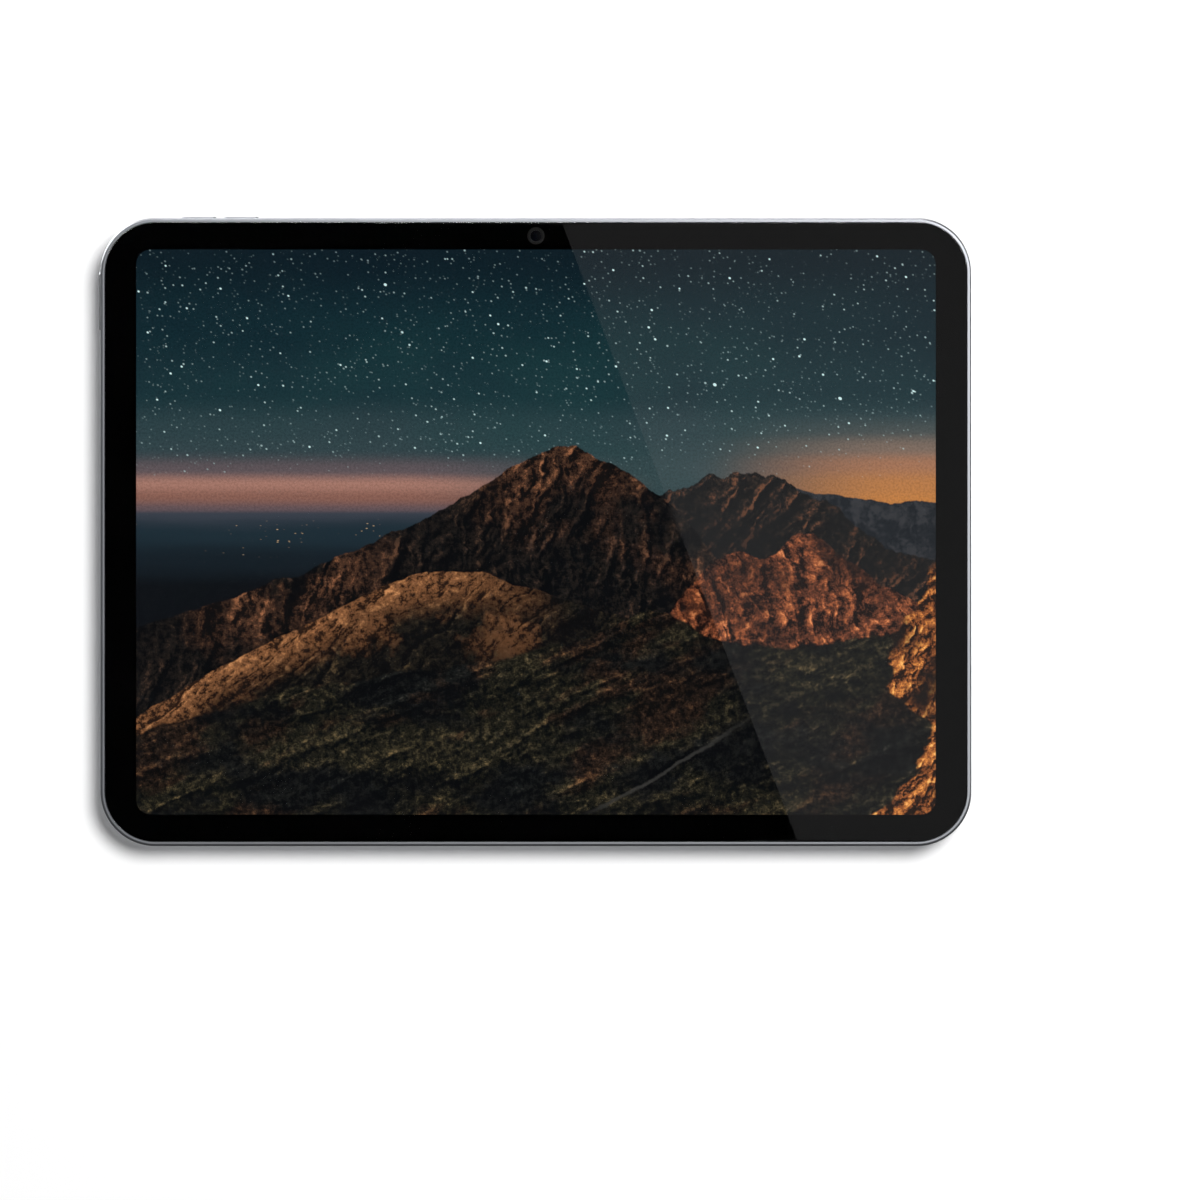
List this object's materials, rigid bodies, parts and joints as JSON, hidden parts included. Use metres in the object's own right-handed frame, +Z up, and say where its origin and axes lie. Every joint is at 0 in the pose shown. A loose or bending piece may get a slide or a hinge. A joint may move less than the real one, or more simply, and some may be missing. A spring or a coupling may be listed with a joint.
{
  "type": "tablet computer",
  "caption": "Slim touchscreen tablet: metal rear case, black-bordered cover glass over a lit screen, edge buttons, rear camera, charging socket, battery and boards inside.",
  "frame": {"origin": "middle of the flat back face of the rear case", "axes": "+X along the long side towards the charging socket, +Y out of the back, so the screen faces -Y, and +Z up along the short side towards the volume buttons and front camera"},
  "size_m": [0.248, 0.0071, 0.1788],
  "materials": {
    "case_metal": "fine blasted and anodised, dark grey",
    "button_metal": "fine blasted and anodised, dark grey",
    "camera_ring_metal": "turned and polished on its edge",
    "cover_glass": "clear, polished, with an oil-shedding coat",
    "black_ink": "opaque black print",
    "optical_adhesive": "clear cured resin",
    "gasket_foam": "closed-cell black foam tape",
    "screen_glass": "thin glass cell with polarisers, showing a picture",
    "optical_film": "frosted white film",
    "light_guide": "clear acrylic with printed dots",
    "reflector_film": "white film",
    "led_package": "white packages with yellow phosphor",
    "tray_metal": "pressed sheet, mill finish",
    "graphite": "dark grey film",
    "flex_film": "amber film over copper tracks",
    "camera_plastic": "moulded, black",
    "lens_glass": "coated lens",
    "sensor_package": "clear moulded package",
    "camera_window": "hard clear window, black printed behind",
    "battery_foil": "foil pouch under black film",
    "adhesive_strip": "stretch-release strip",
    "circuit_board": "green solder resist over copper",
    "chip_epoxy": "moulded epoxy",
    "shield_steel": "thin pressed cans",
    "connector_plastic": "moulded, black",
    "screw_steel": "machined",
    "speaker_plastic": "moulded, black",
    "mesh_steel": "woven, blackened",
    "port_steel": "deep drawn, plated",
    "contact_metal": "plated, fine brushed",
    "insulator_plastic": "moulded, dark grey",
    "fingerprint_window": "hard clear window, dark behind",
    "spring_steel": "thin pressed sheet",
    "microphone_can": "plated can",
    "magnet_nickel": "nickel plated",
    "window_plastic": "moulded, dark grey",
    "coil_copper": "enamelled copper windings",
    "antenna_copper": "copper on film"
  },
  "bodies": {
    "case": {"rear_case": "case_metal", "cover_glass": "cover_glass", "bezel_mask": "black_ink", "optical_adhesive": "optical_adhesive", "display_gasket": "gasket_foam", "display_panel": "screen_glass", "diffuser_films": "optical_film", "light_guide": "light_guide", "reflector_sheet": "reflector_film", "led_strip": "led_package", "backlight_tray": "tray_metal", "graphite_sheet": "graphite", "display_flex": "flex_film", "touch_flex": "flex_film", "front_camera_housing": "camera_plastic", "front_camera_lens": "lens_glass", "front_camera_flex": "flex_film", "light_sensor": "sensor_package", "rear_camera_ring": "camera_ring_metal", "rear_camera_window": "camera_window", "rear_camera_lens": "lens_glass", "rear_camera_module": "camera_plastic", "battery_cell_upper": "battery_foil", "battery_cell_lower": "battery_foil", "battery_adhesive": "adhesive_strip", "battery_board": "circuit_board", "logic_board": "circuit_board", "processor": "chip_epoxy", "storage_chips": "chip_epoxy", "processor_shield": "shield_steel", "power_shield": "shield_steel", "wireless_shield": "shield_steel", "flex_connectors": "connector_plastic", "connector_cowling": "shield_steel", "screws": "screw_steel", "speaker_upper_left": "speaker_plastic", "speaker_lower_left": "speaker_plastic", "speaker_upper_right": "speaker_plastic", "speaker_lower_right": "speaker_plastic", "speaker_meshes": "mesh_steel", "port_shell": "port_steel", "port_tongue": "connector_plastic", "port_bracket": "shield_steel", "port_flex": "flex_film", "dock_contacts": "contact_metal", "dock_insulator": "insulator_plastic", "top_button_bracket": "spring_steel", "top_button_flex": "flex_film", "volume_bracket": "spring_steel", "volume_flex": "flex_film", "button_domes": "spring_steel", "microphones": "microphone_can", "case_magnets": "magnet_nickel", "charging_window": "window_plastic", "charging_coil": "coil_copper", "wireless_antennas": "antenna_copper"},
    "top_button": {"top_button": "button_metal", "fingerprint_window": "fingerprint_window"},
    "volume_up_button": {"volume_up_button": "button_metal"},
    "volume_down_button": {"volume_down_button": "button_metal"}
  },
  "joints": [
    {"name": "top_button_press", "type": "slide", "parent": "case", "child": "top_button", "axis": [1, 0, 0], "range_m": [0, 0.00025], "stiffness_N_per_m": 6000},
    {"name": "volume_up_press", "type": "slide", "parent": "case", "child": "volume_up_button", "axis": [0, 0, -1], "range_m": [0, 0.00025], "stiffness_N_per_m": 6000},
    {"name": "volume_down_press", "type": "slide", "parent": "case", "child": "volume_down_button", "axis": [0, 0, -1], "range_m": [0, 0.00025], "stiffness_N_per_m": 6000}
  ]
}
